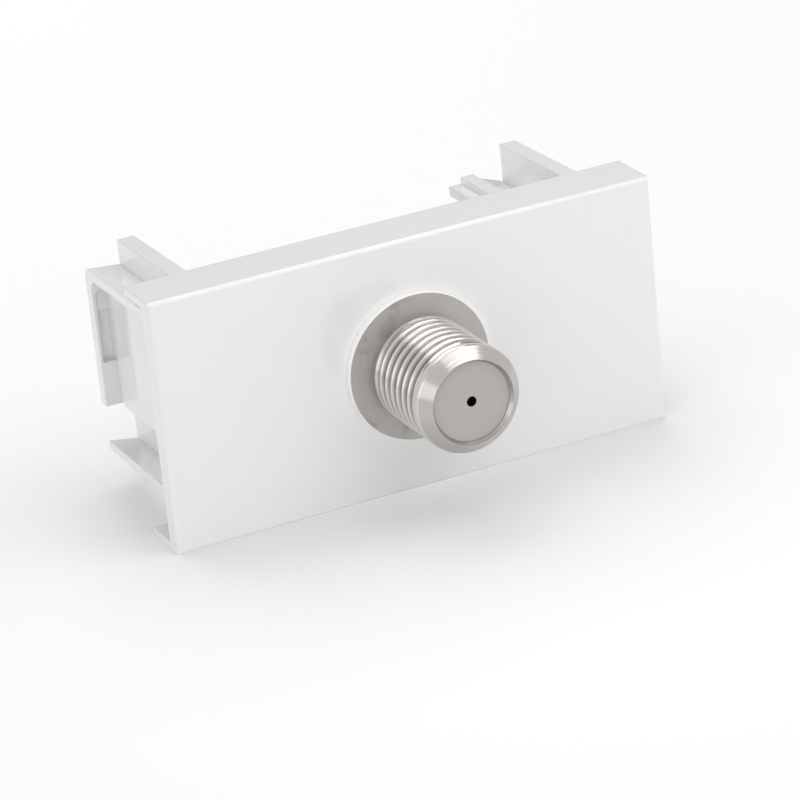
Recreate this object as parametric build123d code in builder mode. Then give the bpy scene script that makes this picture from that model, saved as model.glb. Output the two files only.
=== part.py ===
from build123d import *
from math import cos, radians, tan
import os

os.makedirs("parts", exist_ok=True)

# Television aerial socket module, in millimetres.
# +X runs along the face, +Y goes back into the wall and +Z is up.
# The origin is where the jack's axis crosses the front of the face plate.

# Face plate with its top and bottom lips
face_width = 47.0
face_height = 22.7
plate_thickness = 1.8
lip_depth = 5.4
lip_thickness = 0.7
face_edge_radius = 0.35

# End walls that carry the module in its frame, one at each short end
wall_thickness = 1.55
wall_rear = 17.1
wing_drop = 0.25
pad_proud = 1.2
pad_bottom = 4.2
pad_slope_height = 1.05
foot_proud = 0.42

# Rail above and ledge below, along the outside of each end wall
rail_reach = 22.0
rail_width = 2.7
rail_top = 8.8
rail_thickness = 0.9
ledge_width = 2.7
ledge_top = 7.35
ledge_thickness = 0.8
ledge_rear = 18.1

# Catch that hangs from the back of each rail
catch_front = 17.6
catch_thickness = 1.15
catch_rake = 15.5  # degrees
catch_bottom = 3.95
catch_edge_radius = 0.85
catch_root_radius = 1.0

# Window in the front of each catch: a shallow arch with a deeper pocket in it
window_skin = 0.25
pocket_skin = 0.25
window_bottom = 0.1
window_top = 6.85
window_shoulder = 0.45
window_depth = 0.3
pocket_top = 4.8
pocket_margin = 0.1

# Stepped guide on the inner side of the right-hand wall
guide_rear = 17.6
guide_left = 12.65
guide_step = 13.85
guide_crest = 15.1
guide_knee = 15.8
guide_top = 8.75
guide_ledge_drop = 0.63
guide_knee_drop = 0.55
guide_root_drop = 1.25
guide_thickness = 0.85

# Jack body, one turned piece with a flange against the face
thread_major = 9.525
front_length = 10.8
rear_length = 15.0
flange_diameter = 13.3
flange_thickness = 0.7
flange_edge = 0.12
neck_diameter = 8.4
neck_length = 0.9
nose_length = 1.0
nose_diameter = 7.5
rear_chamfer = 0.6
panel_hole_clearance = 0.12

# Inside of the jack
insulator_diameter = 7.0
insulator_length = 8.0
insulator_recess = 0.4
mouth_flare = 0.14
mouth_flare_depth = 0.3
bore_waist_diameter = 6.0
press_gap = 0.01
pin_hole_diameter = 0.9
insulator_end_wall = 1.3
contact_diameter = 2.2
contact_bore_diameter = 0.55
contact_bore_depth = 8.0
contact_slit_width = 0.3
contact_slit_length = 6.0
contact_gap = 0.02

# Fastening behind the plate, where nut and jack engage at the thread's pitch circle
thread_pitch_diameter = 9.0
thread_engaged_past_nut = 0.3
thread_gap = 0.03
washer_diameter = 12.6
washer_thickness = 0.5
washer_teeth = 12
washer_tooth_height = 0.75
washer_notch_width = 0.9
nut_across_flats = 11.1
nut_thickness = 2.4
nut_corner_width = 0.7
nut_corner_height = 0.35

# Places worked out from the sizes above
half_width = face_width / 2
half_height = face_height / 2
wall_outer = rail_reach - rail_width
wall_inner = wall_outer - wall_thickness
pad_outer = wall_outer + pad_proud
pad_inner = pad_outer - wall_thickness
foot_outer = wall_outer + foot_proud
rail_bottom = rail_top - rail_thickness
ledge_reach = wall_outer + ledge_width
ledge_bottom = ledge_top + ledge_thickness
catch_rear = catch_front + catch_thickness
catch_rake_slope = tan(radians(catch_rake))
catch_rear_at_wall = catch_rear - catch_rake_slope * rail_width
window_outer = rail_reach - window_skin
pocket_inner = pad_outer + pocket_margin
guide_root = guide_top - guide_root_drop
guide_bottom = guide_root - guide_thickness
guide_ledge = guide_top - guide_ledge_drop
window_spring = window_top - window_shoulder
thread_radius = thread_major / 2
thread_pitch_radius = thread_pitch_diameter / 2
washer_rear = plate_thickness + washer_thickness
nut_rear = washer_rear + nut_thickness
free_thread_front = nut_rear + thread_engaged_past_nut


def on_side(side, points):
    """Points drawn for the right-hand end, moved to the end that side gives (+1 or -1)."""
    return [(side * across, along) for across, along in points]


def pocket_back_at(across):
    """Back of the pocket, one skin in front of the catch's raked rear face."""
    return catch_rear_at_wall + catch_rake_slope * (across - wall_outer) - pocket_skin


# Module frame: face plate, lips, end walls, rails and catches in one moulding
with BuildPart() as module_frame:
    # The plate and its lips are one channel, drawn from its end
    with BuildSketch(Plane.YZ):
        Polygon(
            (0, -half_height),
            (lip_depth, -half_height),
            (lip_depth, -half_height + lip_thickness),
            (plate_thickness, -half_height + lip_thickness),
            (plate_thickness, half_height - lip_thickness),
            (lip_depth, half_height - lip_thickness),
            (lip_depth, half_height),
            (0, half_height),
        )
    extrude(amount=half_width, both=True)
    fillet(faces().sort_by(Axis.Y)[0].edges(), face_edge_radius)

    for side in (-1, 1):
        # End wall seen along Y: it steps outwards between the rail and the ledge
        wall_points = [
            (wall_outer, half_height),
            (wall_outer, rail_bottom),
            (pad_outer, rail_bottom),
            (pad_outer, -pad_bottom),
            (foot_outer, -pad_bottom - pad_slope_height),
            (foot_outer, -ledge_bottom),
            (wall_outer, -ledge_bottom),
            (wall_outer, -half_height),
            (wall_inner, -half_height),
            (wall_inner, -pad_bottom - pad_slope_height),
            (pad_inner, -pad_bottom),
            (pad_inner, guide_bottom - pad_proud),
            (wall_inner, guide_bottom),
            (wall_inner, half_height),
        ]
        with BuildSketch(Plane.XZ.offset(-wall_rear)):
            Polygon(*on_side(side, wall_points))
        extrude(amount=wall_rear - plate_thickness)

        # Rail, from the plate back to the catch
        rail_points = [
            (wall_inner, plate_thickness),
            (rail_reach, plate_thickness),
            (rail_reach, catch_front),
            (pad_outer, catch_front),
            (pad_outer, wall_rear),
            (wall_inner, wall_rear),
        ]
        with BuildSketch(Plane.XY.offset(rail_bottom)):
            Polygon(*on_side(side, rail_points))
        extrude(amount=rail_thickness)

        # Ledge
        ledge_points = [
            (wall_inner, plate_thickness),
            (ledge_reach, plate_thickness),
            (ledge_reach, ledge_rear),
            (foot_outer, wall_rear),
            (wall_inner, wall_rear),
        ]
        with BuildSketch(Plane.XY.offset(-ledge_bottom)):
            Polygon(*on_side(side, ledge_points))
        extrude(amount=ledge_thickness)

        # Catch, a bar whose back is raked so that it leads in over the frame's edge
        catch_points = [
            (rail_reach, catch_front),
            (rail_reach, catch_rear),
            (wall_outer, catch_rear_at_wall),
            (wall_outer, wall_rear),
            (pad_outer, wall_rear),
            (pad_outer, catch_front),
        ]
        with BuildSketch(Plane.XY.offset(-catch_bottom)):
            Polygon(*on_side(side, catch_points))
        extrude(amount=catch_bottom + rail_top)
        catch_top = edges().filter_by_position(Axis.Z, rail_top, rail_top)
        fillet(catch_top.sort_by(Axis.Y)[-1], catch_edge_radius)
        catch_root = edges().filter_by(Axis.X).filter_by_position(Axis.Y, catch_front, catch_front)
        catch_root = catch_root.filter_by_position(Axis.Z, rail_bottom, rail_bottom)
        fillet(catch_root.sort_by(Axis.X)[0 if side < 0 else -1], catch_root_radius)

        # Window with its arched top, and the pocket in it
        with BuildSketch(Plane.XZ.offset(-catch_front)):
            with BuildLine():
                Line((side * pad_outer, window_bottom), (side * window_outer, window_bottom))
                Line((side * window_outer, window_bottom), (side * window_outer, window_spring))
                ThreePointArc(
                    (side * window_outer, window_spring),
                    (side * (window_outer + pad_outer) / 2, window_top),
                    (side * pad_outer, window_spring),
                )
                Line((side * pad_outer, window_spring), (side * pad_outer, window_bottom))
            make_face()
        extrude(amount=-window_depth, mode=Mode.SUBTRACT)
        pocket_points = [
            (pocket_inner, catch_front),
            (window_outer, catch_front),
            (window_outer, pocket_back_at(window_outer)),
            (pocket_inner, pocket_back_at(pocket_inner)),
        ]
        with BuildSketch(Plane.XY.offset(window_bottom)):
            Polygon(*on_side(side, pocket_points))
        extrude(amount=pocket_top - window_bottom, mode=Mode.SUBTRACT)

    # Both ends of each wall taper away from the lips towards the back
    for end in (-1, 1):
        with BuildSketch(Plane.YZ):
            Polygon(
                (lip_depth, end * half_height),
                (wall_rear, end * half_height),
                (wall_rear, end * (half_height - wing_drop)),
            )
        extrude(amount=half_width, both=True, mode=Mode.SUBTRACT)

    # Stepped guide inside the right-hand wall
    with BuildSketch(Plane.XZ.offset(-guide_rear)):
        Polygon(
            (wall_inner, guide_root),
            (guide_knee, guide_top - guide_knee_drop),
            (guide_crest, guide_top),
            (guide_step, guide_top),
            (guide_step, guide_ledge),
            (guide_left, guide_ledge),
            (guide_left, guide_ledge - guide_thickness),
            (guide_step, guide_bottom),
            (wall_inner, guide_bottom),
        )
    extrude(amount=guide_rear - plate_thickness)

    # Hole that the jack passes through
    with BuildSketch(Plane.XZ):
        Circle(thread_radius + panel_hole_clearance)
    extrude(amount=-plate_thickness, mode=Mode.SUBTRACT)
module_frame.part.label = "module_frame"
export_step(module_frame.part, "parts/module_frame.step")

# Jack body: half of its section, radius across and place along Y, turned about the axis
insulator_seat_radius = insulator_diameter / 2 + press_gap
front_seat = -front_length + insulator_recess + insulator_length
rear_seat = rear_length - insulator_recess - insulator_length
with BuildPart() as jack_body:
    with BuildSketch(Plane.XY):
        Polygon(
            (insulator_seat_radius, -front_length + mouth_flare_depth),
            (insulator_seat_radius + mouth_flare, -front_length),
            (nose_diameter / 2, -front_length),
            (thread_radius, -front_length + nose_length),
            (thread_radius, -flange_thickness - neck_length),
            (neck_diameter / 2, -flange_thickness - neck_length),
            (neck_diameter / 2, -flange_thickness),
            (flange_diameter / 2, -flange_thickness),
            (flange_diameter / 2, 0),
            (thread_radius, 0),
            (thread_radius, washer_rear),
            (thread_pitch_radius, washer_rear),
            (thread_pitch_radius, free_thread_front),
            (thread_radius, free_thread_front),
            (thread_radius, rear_length - rear_chamfer),
            (thread_radius - rear_chamfer, rear_length),
            (insulator_seat_radius + mouth_flare, rear_length),
            (insulator_seat_radius, rear_length - mouth_flare_depth),
            (insulator_seat_radius, rear_seat),
            (bore_waist_diameter / 2, rear_seat),
            (bore_waist_diameter / 2, front_seat),
            (insulator_seat_radius, front_seat),
        )
    revolve(axis=Axis.Y)
    flange_rim = edges().filter_by(GeomType.CIRCLE).group_by(lambda e: round(e.radius, 3))[-1]
    chamfer(flange_rim, flange_edge)
jack_body.part.label = "jack_body"
export_step(jack_body.part, "parts/jack_body.step")

# Insulators: a plug at each end of the bore, with a small hole for the cable's core
contact_seat_radius = contact_diameter / 2 + contact_gap
insulator_section = [
    (pin_hole_diameter / 2, 0),
    (insulator_diameter / 2, 0),
    (insulator_diameter / 2, insulator_length),
    (contact_seat_radius, insulator_length),
    (contact_seat_radius, insulator_end_wall),
    (pin_hole_diameter / 2, insulator_end_wall),
]
front_face = -front_length + insulator_recess
rear_face = rear_length - insulator_recess
with BuildPart() as front_insulator:
    with BuildSketch(Plane.XY):
        Polygon(*[(radius, front_face + depth) for radius, depth in insulator_section])
    revolve(axis=Axis.Y)
front_insulator.part.label = "front_insulator"
export_step(front_insulator.part, "parts/front_insulator.step")

with BuildPart() as rear_insulator:
    with BuildSketch(Plane.XY):
        Polygon(*[(radius, rear_face - depth) for radius, depth in insulator_section])
    revolve(axis=Axis.Y)
rear_insulator.part.label = "rear_insulator"
export_step(rear_insulator.part, "parts/rear_insulator.step")

# Centre contact: a pin bored and slit at both ends, held between the insulators
contact_front = front_face + insulator_end_wall
contact_rear = rear_face - insulator_end_wall
with BuildPart() as centre_contact:
    with BuildSketch(Plane.XY):
        Polygon(
            (0, contact_front + contact_bore_depth),
            (contact_bore_diameter / 2, contact_front + contact_bore_depth),
            (contact_bore_diameter / 2, contact_front),
            (contact_diameter / 2, contact_front),
            (contact_diameter / 2, contact_rear),
            (contact_bore_diameter / 2, contact_rear),
            (contact_bore_diameter / 2, contact_rear - contact_bore_depth),
            (0, contact_rear - contact_bore_depth),
        )
    revolve(axis=Axis.Y)
    slit_centres = (contact_front + contact_slit_length / 2, contact_rear - contact_slit_length / 2)
    for slit_centre in slit_centres:
        with BuildSketch(Plane.XZ.offset(-slit_centre)):
            Rectangle(contact_diameter, contact_slit_width)
            Rectangle(contact_slit_width, contact_diameter)
        extrude(amount=contact_slit_length / 2, both=True, mode=Mode.SUBTRACT)
centre_contact.part.label = "centre_contact"
export_step(centre_contact.part, "parts/centre_contact.step")

# Lock washer with teeth on its inner edge
washer_hole_radius = thread_radius + thread_gap
with BuildPart() as lock_washer:
    with BuildSketch(Plane.XZ.offset(-washer_rear)):
        Circle(washer_diameter / 2)
        Circle(washer_hole_radius, mode=Mode.SUBTRACT)
        with PolarLocations(washer_hole_radius + washer_tooth_height / 2, washer_teeth):
            SlotOverall(washer_tooth_height * 2, washer_notch_width, mode=Mode.SUBTRACT)
    extrude(amount=washer_thickness)
lock_washer.part.label = "lock_washer"
export_step(lock_washer.part, "parts/lock_washer.step")

# Hex nut, with its corners turned off at both faces
nut_corner_radius = nut_across_flats / 2 / cos(radians(30))
nut_face_radius = nut_corner_radius - nut_corner_width
with BuildPart() as hex_nut:
    with BuildSketch(Plane.XZ.offset(-nut_rear)):
        RegularPolygon(nut_across_flats / 2, 6, major_radius=False)
        Circle(thread_pitch_radius + thread_gap, mode=Mode.SUBTRACT)
    extrude(amount=nut_thickness)
    with BuildSketch(Plane.XY):
        Polygon(
            (0, washer_rear),
            (nut_face_radius, washer_rear),
            (nut_corner_radius, washer_rear + nut_corner_height),
            (nut_corner_radius, nut_rear - nut_corner_height),
            (nut_face_radius, nut_rear),
            (0, nut_rear),
        )
    revolve(axis=Axis.Y, mode=Mode.INTERSECT)
hex_nut.part.label = "hex_nut"
export_step(hex_nut.part, "parts/hex_nut.step")
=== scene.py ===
# %% [markdown]
# # Television aerial socket module
#
# This lesson dresses a small electrical part for a picture. The part is the white insert of a
# modular wall plate. It carries a coaxial jack, a threaded metal barrel that an aerial lead
# screws onto. The solids come from a CAD model, and Blender only adds what the eye expects:
# soft moulded edges, a real thread, nickel plating and studio light.
#
# We begin by loading the CAD model. Each of its pieces becomes one Blender object, already in
# its place and in metres, so nothing has to be fitted by hand afterwards.

# %% Load the CAD model
import math

import bmesh
import bpy
from mathutils import Matrix, Vector


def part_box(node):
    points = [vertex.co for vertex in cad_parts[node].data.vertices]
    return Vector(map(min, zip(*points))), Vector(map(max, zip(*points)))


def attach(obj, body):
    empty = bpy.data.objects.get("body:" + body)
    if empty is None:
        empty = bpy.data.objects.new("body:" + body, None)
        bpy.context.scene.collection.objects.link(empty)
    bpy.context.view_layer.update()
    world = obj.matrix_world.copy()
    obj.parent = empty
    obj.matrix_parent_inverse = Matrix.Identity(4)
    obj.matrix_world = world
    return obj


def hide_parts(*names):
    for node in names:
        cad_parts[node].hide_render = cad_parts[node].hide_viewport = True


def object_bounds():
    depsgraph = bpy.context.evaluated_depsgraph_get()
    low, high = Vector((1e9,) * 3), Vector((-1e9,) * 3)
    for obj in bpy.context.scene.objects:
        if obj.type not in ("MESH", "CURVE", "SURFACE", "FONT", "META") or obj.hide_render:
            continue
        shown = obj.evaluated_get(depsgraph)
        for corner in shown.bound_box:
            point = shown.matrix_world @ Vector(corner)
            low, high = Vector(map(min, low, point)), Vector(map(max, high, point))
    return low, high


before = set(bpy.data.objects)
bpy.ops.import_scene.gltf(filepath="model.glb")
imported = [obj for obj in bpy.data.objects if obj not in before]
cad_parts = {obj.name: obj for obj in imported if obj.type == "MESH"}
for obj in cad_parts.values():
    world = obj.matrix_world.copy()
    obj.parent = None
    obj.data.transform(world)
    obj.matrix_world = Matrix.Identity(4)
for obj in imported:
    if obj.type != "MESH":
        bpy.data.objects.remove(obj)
cad_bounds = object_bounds()
MM = 0.001
for name in sorted(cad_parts):
    low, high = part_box(name)
    print(name, "measures", [round(length / MM, 2) for length in high - low], "mm")

# %% [markdown]
# Blender's lights and shaders work with linear colour, where twice the number is twice the
# light. Colours given as sRGB hex codes are spaced for the eye instead. One function turns the
# second kind into the first, and every colour below goes through it.

# %% Turn an sRGB hex colour into linear light


def linear(hex_code):
    """The linear red, green, blue and alpha of a colour written like "C8C4BE"."""
    channels = [int(hex_code[start:start + 2], 16) / 255 for start in (0, 2, 4)]
    return [c / 12.92 if c <= 0.04045 else ((c + 0.055) / 1.055) ** 2.4 for c in channels] + [1.0]


print("mid grey 808080 is", round(linear("808080")[0], 3), "in linear light")

# %% [markdown]
# A material is a small graph of nodes. This one function adds any kind of node: it sets the
# node's own options, fills in its sockets, and links a socket wherever the value it is given
# is another node's output. A second function makes the empty material that the nodes go into.

# %% Add one shader node


def add_node(material, kind, sockets=None, **options):
    """Add a node to the material, with its options set and its sockets filled or linked."""
    tree = material.node_tree
    node = tree.nodes.new(kind)
    for option, value in options.items():
        setattr(node, option, value)
    for socket, value in (sockets or {}).items():
        if isinstance(value, bpy.types.NodeSocket):
            tree.links.new(value, node.inputs[socket])
        else:
            node.inputs[socket].default_value = value
    return node


def new_material(name):
    """An empty node material and the output node that its surface is linked to."""
    material = bpy.data.materials.new(name)
    material.use_nodes = True
    material.node_tree.nodes.clear()
    print("making", name)
    return material, add_node(material, "ShaderNodeOutputMaterial")


# %% [markdown]
# ## The camera
#
# The photograph looks at the module from the left and from above, with a long lens that keeps
# parallel edges nearly parallel. The camera stands where that photographer stood: its place and
# its aim are given in millimetres from the point where the jack's axis meets the face. The
# picture is also turned a little, so the module seems to lean, and the camera is rolled to match.

# %% Place the camera
camera_place = Vector((-131.1, -295.44, 129.62)) * MM
camera_aim = Vector((-1.895, 0.0, -2.82)) * MM
camera_roll = math.radians(-5.818)
sensor_width = 36.0
focal_length = 184.06

sight = (camera_aim - camera_place).normalized()
level = sight.to_track_quat("-Z", "Y").to_matrix()
camera_data = bpy.data.cameras.new("studio_camera")
camera_data.sensor_width = sensor_width
camera_data.lens = focal_length
camera_data.clip_start = 1.0 * MM
camera = bpy.data.objects.new("studio_camera", camera_data)
roll = Matrix.Rotation(camera_roll, 3, "Z")
camera.matrix_world = Matrix.Translation(camera_place) @ (level @ roll).to_4x4()
bpy.context.scene.collection.objects.link(camera)
bpy.context.scene.camera = camera
print("the camera stands", round((camera_place - camera_aim).length / MM), "mm from the face")

# %% [markdown]
# ## The white plastic
#
# Wiring accessories are moulded in ABS or polycarbonate, in a steel mould whose visible side is
# polished. The plastic copies that polish, so its face reflects like still water: weakly when seen
# straight on and strongly at a low angle. Plain ABS has an IOR of 1.54. The polished skin here
# mirrors the jack a little more clearly than that, and an IOR of 1.7 matches it. The colour is a
# neutral white that never reaches pure white. A moulded surface still isn't perfect: it waves by
# a few thousandths of a millimetre over a few millimetres, which a very gentle noise bump draws,
# and its polish varies slightly from place to place. Nearly all values of a noise texture lie
# between 0.3 and 0.7, so that is the range that is spread out over the polish.
#
# A mould has no perfectly sharp edges either. The CAD model has the large radius round the face.
# Every other edge has a radius of about a tenth of a millimetre, left by the tool that cut the
# steel. That is one pixel of the picture, yet the eye looks for it, because each rounded edge
# catches a thin line of light. A Bevel node draws it: near an edge, it turns the direction that
# the surface faces gradually from one side to the other, and leaves the mesh as it is.

# %% Make the moulded white plastic
edge_radius = 0.12 * MM
flow_length = 6.0 * MM
wave_height = 0.004 * MM
noise_low, noise_high = 0.3, 0.7


def moulded_white_plastic():
    """Glossy moulded plastic with gentle waves and softly rounded edges."""
    material, output = new_material("moulded_glossy_white_plastic")
    place = add_node(material, "ShaderNodeTexCoord").outputs["Object"]
    flow = add_node(material, "ShaderNodeTexNoise",
                    {"Vector": place, "Scale": 1 / flow_length, "Detail": 2.0, "Roughness": 0.5})
    polish = add_node(material, "ShaderNodeMapRange",
                      {"Value": flow.outputs["Fac"], "From Min": noise_low,
                       "From Max": noise_high, "To Min": 0.0, "To Max": 0.015})
    edge = add_node(material, "ShaderNodeBevel", {"Radius": edge_radius}, samples=6)
    wave = add_node(material, "ShaderNodeBump",
                    {"Height": flow.outputs["Fac"], "Strength": 0.15, "Distance": wave_height,
                     "Normal": edge.outputs["Normal"]})
    # A Mix node holds a pair of sockets for every type of value: 6 and 7 are its colours.
    tint = add_node(material, "ShaderNodeMix",
                    {"Factor": flow.outputs["Fac"], 6: linear("E7E7E7"), 7: linear("E5E5E5")},
                    data_type="RGBA")
    plastic = add_node(material, "ShaderNodeBsdfPrincipled",
                       {"Base Color": tint.outputs[2], "Roughness": polish.outputs["Result"],
                        "IOR": 1.7, "Normal": wave.outputs["Normal"]})
    material.node_tree.links.new(plastic.outputs["BSDF"], output.inputs["Surface"])
    return material


white_plastic = moulded_white_plastic()
print("its edges look rounded by", round(edge_radius / MM, 2), "mm")

# %% [markdown]
# ## The nickel plate
#
# The jack is turned from brass bar and plated with a few thousandths of a millimetre of nickel.
# Nickel is a warm grey mirror: it has no colour of its own under its reflections, it only dims
# and warms what it reflects. How bright and how smooth it is depends on the place: the crests,
# the lip and the rim carry a painted highlight, the thread's root a painted shade, and the
# flange is rougher. So we first name those places. They come from the jack's box, and from the
# crests of a 3/8 inch thread, the thickness of the flange, the length of the neck in front of it
# and that of the plain lip at the tip. A function measures how far a point is from the axis.

# %% Name the places on the jack
jack_low, jack_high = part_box("jack_body")
flange_radius = jack_high.x
crest_radius = 9.525 / 2 * MM
flange_front = -0.7 * MM
neck_front = flange_front - 0.9 * MM
lip_length = 1.5 * MM


def distance_from_axis(material, place):
    """How far a place is from the jack's axis, which runs along Y."""
    flat = add_node(material, "ShaderNodeVectorMath", {0: place, 1: (1.0, 0.0, 1.0)},
                    operation="MULTIPLY").outputs["Vector"]
    length = add_node(material, "ShaderNodeVectorMath", {0: flat}, operation="LENGTH")
    return length.outputs["Value"]


print("the jack is", round((jack_high.y - jack_low.y) / MM, 2), "mm long and",
      round(2 * flange_radius / MM, 2), "mm across its flange")

# %% [markdown]
# The lathe leaves rings round the axis, a fraction of a millimetre apart, which the plating
# softens. They stretch every reflection a little, across the rings. A noise makes them when its
# space is squeezed along the path that the tool takes, which is the axis on the barrel and the
# radius on the flange: the sum of both serves for either. The real rings are 0.05 mm apart and
# too fine to show here, so they are drawn 0.16 mm apart.

# %% Draw the rings that the lathe leaves
ring_spacing = 0.16 * MM
ring_length = 4.0 * MM
ring_depth = 0.02 * MM


def lathe_rings(material, axes, radius):
    """The direction of a surface with fine turned rings in it."""
    path = add_node(material, "ShaderNodeMath", {0: radius, 1: axes["Y"]}, operation="ADD")
    squeezed = add_node(material, "ShaderNodeMath",
                        {0: path.outputs["Value"], 1: ring_length / ring_spacing},
                        operation="MULTIPLY")
    ring_place = add_node(material, "ShaderNodeCombineXYZ",
                          {"X": axes["X"], "Y": squeezed.outputs["Value"], "Z": axes["Z"]})
    ring = add_node(material, "ShaderNodeTexNoise",
                    {"Vector": ring_place.outputs["Vector"], "Scale": 1 / ring_length,
                     "Detail": 2.0})
    rings = add_node(material, "ShaderNodeBump",
                     {"Height": ring.outputs["Fac"], "Strength": 0.8, "Distance": ring_depth})
    return rings.outputs["Normal"]


print("the rings are squeezed", round(ring_length / ring_spacing), "times along the tool's path")

# %% [markdown]
# Painted highlights and a painted shade go into the nickel's colour. On the barrel a lighter
# colour on the crests of the thread and the plain lip of the nose is a painted highlight, and a
# darker colour in the root of the thread behind the lip is a painted shade. On the flange the rim
# is painted almost white, a painted highlight and the brightest of all, while tarnish clouds its
# front in patches. One colour gives way to the next over a tenth of a millimetre or so.

# %% Colour the barrel and the flange
fade = 0.1 * MM
crest_start = crest_radius - fade
crest_top = crest_radius - 0.04 * MM
root_bottom = crest_radius - 0.34 * MM
lip_end = jack_low.y + lip_length
rim_start = flange_radius - 0.14 * MM
rim_edge = flange_radius - 0.06 * MM
tarnish_share = 0.2


def barrel_colour(material, radius, along):
    """Painted highlight on the crests and the lip, painted shade in the root behind the lip."""
    # Painted highlight: the crests and the lip take a lighter colour.
    crest = add_node(material, "ShaderNodeMapRange",
                     {"Value": radius, "From Min": crest_start, "From Max": crest_top})
    crest_highlight = add_node(material, "ShaderNodeMix",
                      {"Factor": crest.outputs["Result"], 6: linear("BFBBB7"),
                       7: linear("DDD9D4")}, data_type="RGBA")
    # Painted shade: the thread's root behind the lip takes a darker colour.
    root = add_node(material, "ShaderNodeMapRange",
                    {"Value": radius, "From Min": root_bottom, "From Max": crest_start,
                     "To Min": 1.0, "To Max": 0.0})
    behind_lip = add_node(material, "ShaderNodeMapRange",
                          {"Value": along, "From Min": lip_end - 2 * fade,
                           "From Max": lip_end + fade})
    darkened = add_node(material, "ShaderNodeMath",
                    {0: root.outputs["Result"], 1: behind_lip.outputs["Result"]},
                    operation="MULTIPLY")
    barrel = add_node(material, "ShaderNodeMix",
                      {"Factor": darkened.outputs["Value"], 6: crest_highlight.outputs[2],
                       7: linear("67625C")}, data_type="RGBA")
    return barrel.outputs[2]


def flange_colour(material, radius, stain):
    """Clouded by tarnish in patches, with a painted highlight that makes the rim almost white."""
    tarnish = add_node(material, "ShaderNodeMapRange",
                       {"Value": stain, "From Min": 0.56, "From Max": 0.64,
                        "To Max": tarnish_share})
    front = add_node(material, "ShaderNodeMix",
                     {"Factor": tarnish.outputs["Result"], 6: linear("C9C6C2"),
                      7: linear("77736D")}, data_type="RGBA")
    # Painted highlight: the rim takes an almost white colour.
    rim = add_node(material, "ShaderNodeMapRange",
                   {"Value": radius, "From Min": rim_start, "From Max": rim_edge})
    flange = add_node(material, "ShaderNodeMix",
                      {"Factor": rim.outputs["Result"], 6: front.outputs[2],
                       7: linear("FFFEFD")}, data_type="RGBA")
    return flange.outputs[2]


print("the dull root starts", round(lip_length / MM, 2), "mm behind the tip of the jack")

# %% [markdown]
# Now the parts of the finish come together. From the neck backwards the plating is also rougher
# than on the front barrel, because it is never wiped there. One blend at the front of the neck
# switches both the colour and the roughness from the barrel's to the flange's.

# %% Make the nickel plate
stain_size = 3.0 * MM
flange_extra_roughness = 0.5


def nickel_plate_on_turned_brass():
    """Nickel plate with turned rings, painted highlights and a painted shade in the thread's root.
    """
    material, output = new_material("nickel_plate_on_turned_brass")
    place = add_node(material, "ShaderNodeTexCoord").outputs["Object"]
    axes = add_node(material, "ShaderNodeSeparateXYZ", {"Vector": place}).outputs
    radius = distance_from_axis(material, place)
    stain = add_node(material, "ShaderNodeTexNoise",
                     {"Vector": place, "Scale": 1 / stain_size, "Detail": 3.0}).outputs["Fac"]
    gloss = add_node(material, "ShaderNodeMapRange",
                     {"Value": stain, "From Min": noise_low, "From Max": noise_high,
                      "To Min": 0.16, "To Max": 0.24})
    at_flange = add_node(material, "ShaderNodeMapRange",
                         {"Value": axes["Y"], "From Min": neck_front - fade,
                          "From Max": neck_front}).outputs["Result"]
    roughness = add_node(material, "ShaderNodeMath",
                         {0: at_flange, 1: flange_extra_roughness, 2: gloss.outputs["Result"]},
                         operation="MULTIPLY_ADD")
    colour = add_node(material, "ShaderNodeMix",
                      {"Factor": at_flange, 6: barrel_colour(material, radius, axes["Y"]),
                       7: flange_colour(material, radius, stain)}, data_type="RGBA")
    plate = add_node(material, "ShaderNodeBsdfPrincipled",
                     {"Base Color": colour.outputs[2], "Metallic": 1.0,
                      "Roughness": roughness.outputs["Value"],
                      "Normal": lathe_rings(material, axes, radius)})
    material.node_tree.links.new(plate.outputs["BSDF"], output.inputs["Surface"])
    return material


nickel = nickel_plate_on_turned_brass()
print("it has", len(nickel.node_tree.nodes), "nodes")

# %% [markdown]
# ## The small finishes
#
# The insulators are turned from a grey engineering plastic, which looks dry because its surface
# scatters what it reflects. The contact inside them is phosphor bronze, and the toothed washer
# is spring steel. All three are plain, so one short function makes them from a few facts. Light
# that enters the pin hole of an insulator hardly comes out again, so a painted shade makes the
# bore black there.

# %% Make the small finishes
pin_hole_radius = 0.45 * MM


def plain_finish(name, colour, grain, bore=0.0, **settings):
    """A finish with one colour and a fine grain, and painted black shade in a bore round the axis.
    """
    material, output = new_material(name)
    place = add_node(material, "ShaderNodeTexCoord").outputs["Object"]
    # Painted shade: inside the bore the colour is black.
    inside = add_node(material, "ShaderNodeMath",
                      {0: distance_from_axis(material, place), 1: bore}, operation="LESS_THAN")
    shade = add_node(material, "ShaderNodeMix",
                     {"Factor": inside.outputs["Value"], 6: linear(colour), 7: linear("0A0A0A")},
                     data_type="RGBA")
    speck = add_node(material, "ShaderNodeTexNoise",
                     {"Vector": place, "Scale": 1 / grain, "Detail": 2.0})
    grained = add_node(material, "ShaderNodeBump",
                       {"Height": speck.outputs["Fac"], "Strength": 0.2, "Distance": grain / 20})
    sockets = {"Base Color": shade.outputs[2], "Normal": grained.outputs["Normal"], **settings}
    surface = add_node(material, "ShaderNodeBsdfPrincipled", sockets)
    material.node_tree.links.new(surface.outputs["BSDF"], output.inputs["Surface"])
    return material


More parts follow.
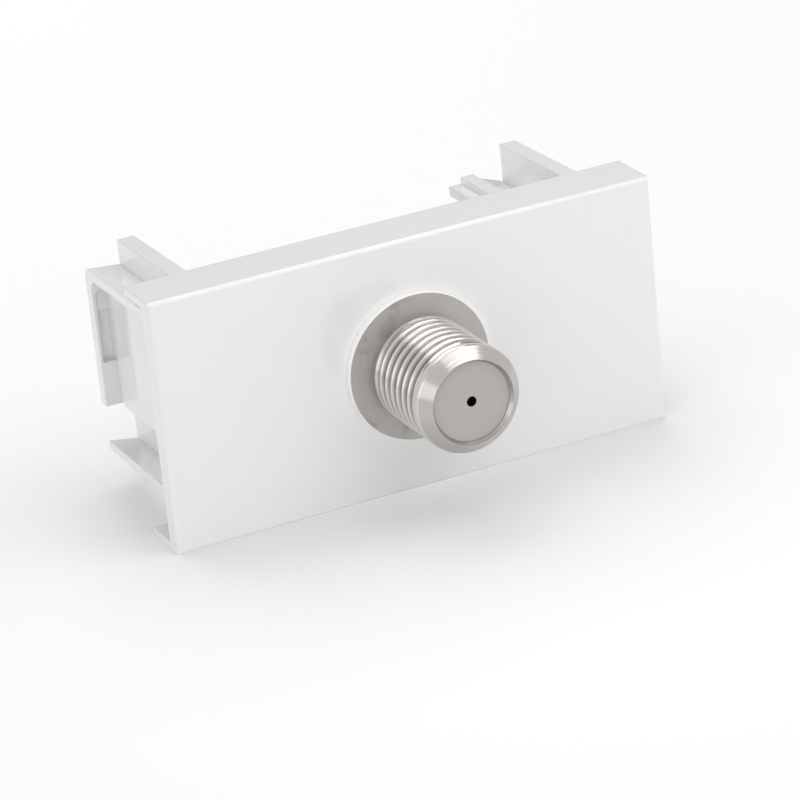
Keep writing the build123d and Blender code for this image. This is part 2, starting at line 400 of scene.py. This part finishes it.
insulator_plastic = plain_finish("turned_grey_acetal", "AEA9A4", 0.1 * MM,
                                 bore=pin_hole_radius, IOR=1.48, Roughness=0.45)
contact_bronze = plain_finish("drawn_phosphor_bronze", "B98A5A", 0.08 * MM,
                              Metallic=1.0, Roughness=0.3)
washer_steel = plain_finish("blanked_spring_steel", "A7A6A3", 0.12 * MM,
                            Metallic=1.0, Roughness=0.34)
print("the pin hole is", round(2 * pin_hole_radius / MM, 2), "mm across")

# %% [markdown]
# ## The pieces that stay as they are
#
# The moulding, the insulators, the contact, the washer and the nut already have their exact
# shape, so each only takes its finish.

# %% Give these pieces their finish
finishes = {"module_frame": white_plastic, "front_insulator": insulator_plastic,
            "rear_insulator": insulator_plastic, "centre_contact": contact_bronze,
            "lock_washer": washer_steel, "hex_nut": nickel}
for node, finish in finishes.items():
    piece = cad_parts[node]
    piece.data.materials.clear()
    piece.data.materials.append(finish)
    print(node, "is finished in", finish.name)

# %% [markdown]
# ## The turned jack
#
# A lathe shapes the jack by turning the bar while the tool follows an outline, and the mesh is
# made the same way: the outline becomes a row of rings, each with its place along the axis and
# its radius, and the rings are joined by faces.
#
# The thread is the exception, because it is a spiral. There the rings are closely spaced, and the
# radius of each vertex depends on its angle too: where the groove passes, the vertex sinks. One
# turn round the axis moves the groove by one pitch. The standard thread has 32 turns to the inch.
# The picture shows it coarser, so the pitch here is 1.06 mm, which also keeps the turns apart.
# At both ends of the thread the groove fades out, as it does where the tool leaves the metal.

# %% Cut the thread's groove
thread_pitch = 1.06 * MM
thread_depth = 0.42 * MM
thread_fade = 0.9 * MM
rings_per_pitch = 20


def groove(turns):
    """Share of the thread's depth at a place counted in turns: 0 on the crest, 1 in the root."""
    across = abs((turns % 1.0) - 0.5) * 2.0
    slope = min(1.0, max(0.0, (0.9 - across) / 0.8))
    return slope * slope * (3.0 - 2.0 * slope)


def thread_rings(start, end):
    """Rings from start to end along the axis, each with its place, radius and thread depth."""
    count = math.ceil((end - start) / thread_pitch * rings_per_pitch)
    rings = []
    for step in range(count + 1):
        y = start + (end - start) * step / count
        fade = min(1.0, (y - start) / thread_fade, (end - y) / thread_fade)
        rings.append((y, crest_radius, thread_depth * fade))
    return rings


print("a quarter of a turn from the root, the groove is", round(groove(0.25), 2), "of its depth")

# %% [markdown]
# The rest of the jack is an outline of corners, each given as its radius, its place along the
# axis and a small rounding. No turned corner is perfectly sharp, so a rounded corner becomes a
# short curve of five rings, from one side of the corner to the other.

# %% Round the corners of the outline
corner_shares = (0.0, 0.25, 0.5, 0.75, 1.0)


def outline_rings(corners):
    """Rings along an outline of corners, each given as radius, place and rounding."""
    points = [Vector(corner[:2]) for corner in corners]
    rings = []
    for index, (radius, y, rounding) in enumerate(corners):
        if rounding == 0:
            rings.append((y, radius, 0.0))
            continue
        back = (points[index - 1] - points[index]).normalized() * rounding
        ahead = (points[index + 1] - points[index]).normalized() * rounding
        for share in corner_shares:
            point = points[index] + back * (1 - share) ** 2 + ahead * share ** 2
            rings.append((point.y, point.x, 0.0))
    return rings


print("a rounded corner has", len(corner_shares), "rings")

# %% [markdown]
# Each ring becomes a closed row of vertices round the axis, and each pair of neighbouring rows is
# joined by four-sided faces. The last row is joined to the first one, because the outline runs
# out along the bore, over the outside and back into the bore, so the mesh has no open edge.

# %% Turn the rings into a mesh
turn_steps = 144


def turned_mesh(name, rings):
    """A closed mesh turned about the Y axis from rings of place, radius and thread depth."""
    mesh = bpy.data.meshes.new(name)
    shape = bmesh.new()
    rows = []
    for y, radius, depth in rings:
        row = []
        for step in range(turn_steps):
            turn = step / turn_steps
            reach = radius - depth * groove(y / thread_pitch + turn)
            angle = turn * math.tau
            row.append(shape.verts.new((reach * math.cos(angle), y, reach * math.sin(angle))))
        rows.append(row)
    for row, following in zip(rows, rows[1:] + rows[:1]):
        for step in range(turn_steps):
            beside = (step + 1) % turn_steps
            shape.faces.new((row[step], row[beside], following[beside], following[step]))
    bmesh.ops.recalc_face_normals(shape, faces=shape.faces)
    shape.to_mesh(mesh)
    shape.free()
    piece = bpy.data.objects.new(name, mesh)
    bpy.context.scene.collection.objects.link(piece)
    return piece


print("each ring has", turn_steps, "vertices, one every", 360 / turn_steps, "degrees")

# %% [markdown]
# The outline can now be written down. Where the jack meets another piece, the corner's place is
# read from that piece's own box, so the jack fits the insulators, the washer and the nut. Ahead
# of the thread is the plain nose, which tapers to the tip and opens a little at its mouth. Behind
# it are the neck, the flange and the rear barrel, which is turned down under the nut. The value
# named fine is the smallest step in the outline, and it sets the rounding of the corners too.

# %% Turn the jack
tip, tail = jack_low.y, jack_high.y
seat_clearance = 0.01 * MM
bore_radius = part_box("front_insulator")[1].x + seat_clearance
front_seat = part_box("front_insulator")[1].y
rear_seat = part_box("rear_insulator")[0].y
washer_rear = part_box("lock_washer")[1].y
thread_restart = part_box("hex_nut")[1].y + 0.3 * MM
neck_radius = 4.2 * MM
waist_radius = 3.0 * MM
nose_radius = 3.75 * MM
under_nut_radius = 4.5 * MM
nose_length = 1.0 * MM
mouth_radius = bore_radius + 0.26 * MM
mouth_depth = 0.37 * MM
rear_chamfer = 0.6 * MM
fine = 0.05 * MM

nose = outline_rings([
    (waist_radius, front_seat, 0), (bore_radius, front_seat, 0),
    (bore_radius, tip + mouth_depth, fine), (mouth_radius, tip, fine / 2),
    (nose_radius, tip, fine), (crest_radius, tip + nose_length, 2 * fine),
    (crest_radius, tip + lip_length - 2 * fine, 0)])
front_thread = thread_rings(tip + lip_length, neck_front)
flange = outline_rings([
    (crest_radius - fine, neck_front, 0), (neck_radius, neck_front, 0),
    (neck_radius, flange_front, fine / 2), (flange_radius, flange_front, 2 * fine),
    (flange_radius, 0.0, 2 * fine), (crest_radius, 0.0, 0),
    (crest_radius, washer_rear, fine / 2), (under_nut_radius, washer_rear, 0),
    (under_nut_radius, thread_restart, 0), (crest_radius, thread_restart, fine / 2),
    (crest_radius, thread_restart + 2 * fine, 0)])
rear_thread = thread_rings(thread_restart + 3 * fine, tail - rear_chamfer)
rear_end = outline_rings([
    (crest_radius, tail - rear_chamfer, 0), (crest_radius - rear_chamfer, tail, fine),
    (mouth_radius, tail, fine / 2), (bore_radius, tail - mouth_depth, fine),
    (bore_radius, rear_seat, 0), (waist_radius, rear_seat, 0)])
jack = turned_mesh("threaded_jack", nose + front_thread + flange + rear_thread + rear_end)
print("the jack has", len(jack.data.polygons), "faces")

# %% [markdown]
# The faces are shaded smooth, except across the jack's real edges, which are all sharper than 32
# degrees. The new mesh then takes the place of the CAD model's plain jack.

# %% Finish the jack
edge_angle = math.radians(32)
jack.data.materials.append(nickel)
jack.data.polygons.foreach_set("use_smooth", [True] * len(jack.data.polygons))
jack.data.set_sharp_from_angle(angle=edge_angle)
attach(jack, "root")
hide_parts("jack_body")
print(jack.name, "replaces the CAD model's jack_body")

# %% [markdown]
# ## The floor
#
# The module lies on its lower lip on a large sheet of white paper. The sheet is one square face
# at the height of the module's lowest point, and it is part of the studio, not of the model.

# %% Lay the paper
floor_half = 3.0
floor_height = cad_bounds[0][2]
sheet_corners = [(-floor_half, -floor_half), (floor_half, -floor_half),
                 (floor_half, floor_half), (-floor_half, floor_half)]
floor_mesh = bpy.data.meshes.new("white_paper_floor")
floor_mesh.from_pydata([(x, y, floor_height) for x, y in sheet_corners], [], [(0, 1, 2, 3)])
floor = bpy.data.objects.new("white_paper_floor", floor_mesh)
bpy.context.scene.collection.objects.link(floor)
print("the floor lies at", round(floor_height / MM, 2), "mm")

# %% [markdown]
# Paper is matt, because its fibres scatter light in all directions. This one gives the
# photograph's white ground by its own colour. Close to the module, an Ambient Occlusion node
# finds how much of the sky it hides from the paper, and a slightly darker paper there deepens the
# soft contact shadow.
#
# The photograph's shadow is pale, even right under the jack. So what the camera sees of the paper,
# directly or mirrored in the metal, is one fifth plain white and four fifths paper. A Light Path
# node tells which rays those are. The paper that throws light onto the module stays plain paper.
# Where the module hides most of the sky, the share of plain white grows, up to three quarters.
# Without that, a dark line would run along the face's lower edge, which the photograph lacks.

# %% Make the white paper
paper_colour = "F5F5F5"
shadow_colour = "DCDCDC"
shadow_reach = 40 * MM
open_white = 0.2
covered_white = 0.75


def matt_white_paper():
    """White paper that keeps a pale shadow, and stays paler still where it is covered."""
    material, output = new_material("matt_white_paper")
    openness = add_node(material, "ShaderNodeAmbientOcclusion", {"Distance": shadow_reach},
                        samples=8).outputs["AO"]
    shade = add_node(material, "ShaderNodeMapRange",
                     {"Value": openness, "From Min": 0.5, "From Max": 1.0})
    tone = add_node(material, "ShaderNodeMix",
                    {"Factor": shade.outputs["Result"], 6: linear(shadow_colour),
                     7: linear(paper_colour)}, data_type="RGBA")
    ray = add_node(material, "ShaderNodeLightPath").outputs
    mirrored = add_node(material, "ShaderNodeMath",
                        {0: ray["Is Camera Ray"], 1: ray["Is Glossy Ray"]}, operation="MAXIMUM")
    seen = add_node(material, "ShaderNodeMath",
                    {0: mirrored.outputs["Value"], 1: ray["Is Transmission Ray"]},
                    operation="MAXIMUM").outputs["Value"]
    colour = add_node(material, "ShaderNodeMix",
                      {"Factor": seen, 6: linear(paper_colour), 7: tone.outputs[2]},
                      data_type="RGBA")
    white_share = add_node(material, "ShaderNodeMapRange",
                           {"Value": openness, "From Min": 0.1, "From Max": 0.44,
                            "To Min": covered_white, "To Max": open_white})
    seen_white = add_node(material, "ShaderNodeMath",
                          {0: seen, 1: white_share.outputs["Result"]}, operation="MULTIPLY")
    sheet = add_node(material, "ShaderNodeBsdfDiffuse", {"Color": colour.outputs[2]})
    white = add_node(material, "ShaderNodeEmission", {"Color": linear("FCFCFC"), "Strength": 1.0})
    surface = add_node(material, "ShaderNodeMixShader",
                       {0: seen_white.outputs["Value"], 1: sheet.outputs["BSDF"],
                        2: white.outputs["Emission"]})
    material.node_tree.links.new(surface.outputs["Shader"], output.inputs["Surface"])
    return material


floor.data.materials.append(matt_white_paper())
print("plain white is", open_white, "of the open paper and", covered_white, "of the covered paper")

# %% [markdown]
# ## The light
#
# Small shiny parts are photographed in a light tent, a box of white cloth that lights them evenly
# from all sides. That is why the nickel shows no hard black reflections. Only the part of the tent
# behind and above the module is dim: the smooth plastic mirrors it where it is seen at a low
# angle, so the top of the rail looks darker than the face. The world is the tent: its strength
# falls smoothly towards one dim direction.

# %% Put up the light tent
tent_light = 1.16
back_light = 0.24
dim_direction = (0.0, 0.85, 0.53)
world = bpy.data.worlds.new("light_tent")
bpy.context.scene.world = world
world.use_nodes = True
world.node_tree.nodes.clear()
direction = add_node(world, "ShaderNodeTexCoord").outputs["Generated"]
towards_dim = add_node(world, "ShaderNodeVectorMath", {0: direction, 1: dim_direction},
                       operation="DOT_PRODUCT").outputs["Value"]
glow = add_node(world, "ShaderNodeMapRange",
                {"Value": towards_dim, "From Min": 0.1, "From Max": 0.9,
                 "To Min": tent_light, "To Max": back_light}, interpolation_type="SMOOTHSTEP")
cloth = add_node(world, "ShaderNodeBackground", {"Strength": glow.outputs["Result"]})
add_node(world, "ShaderNodeOutputWorld", {"Surface": cloth.outputs["Background"]})
print("the tent's strength runs from", tent_light, "in front to", back_light, "behind")

# %% [markdown]
# Three soft lamps shine through the cloth. A small one close above the jack adds the bright patch
# on its nose and the light lines on its thread, and a little more light in the middle of the face
# than at its ends. A large one behind the module throws the soft shadow towards the camera. A weak
# one on the left brightens the walls and wings that face it.

# %% Place the lamps


def softbox(name, azimuth, elevation, distance, width, height, watts):
    """A lamp that looks at the jack: angles in degrees from its axis, lengths in millimetres."""
    turn, rise = math.radians(azimuth), math.radians(elevation)
    towards = Vector((math.sin(turn) * math.cos(rise), -math.cos(turn) * math.cos(rise),
                      math.sin(rise)))
    lamp = bpy.data.lights.new(name, "AREA")
    lamp.shape = "RECTANGLE"
    lamp.size = width * MM
    lamp.size_y = height * MM
    lamp.energy = watts
    holder = bpy.data.objects.new(name, lamp)
    facing = towards.to_track_quat("Z", "Y").to_matrix().to_4x4()
    holder.matrix_world = Matrix.Translation(towards * distance * MM) @ facing
    bpy.context.scene.collection.objects.link(holder)
    print(name, "stands", distance, "mm away")


softbox("upper_softbox", azimuth=24, elevation=56, distance=110,
        width=115, height=40, watts=0.026)
softbox("back_softbox", azimuth=178, elevation=56, distance=500,
        width=460, height=460, watts=1.3)
softbox("left_softbox", azimuth=-80, elevation=14, distance=500,
        width=700, height=240, watts=0.28)

# %% [markdown]
# ## The view transform
#
# The dressed model has to stay inside the CAD model's box. The view transform is set to
# Standard, which shows each colour as it is written.

# %% Set the view transform
bpy.context.scene.view_settings.view_transform = "Standard"
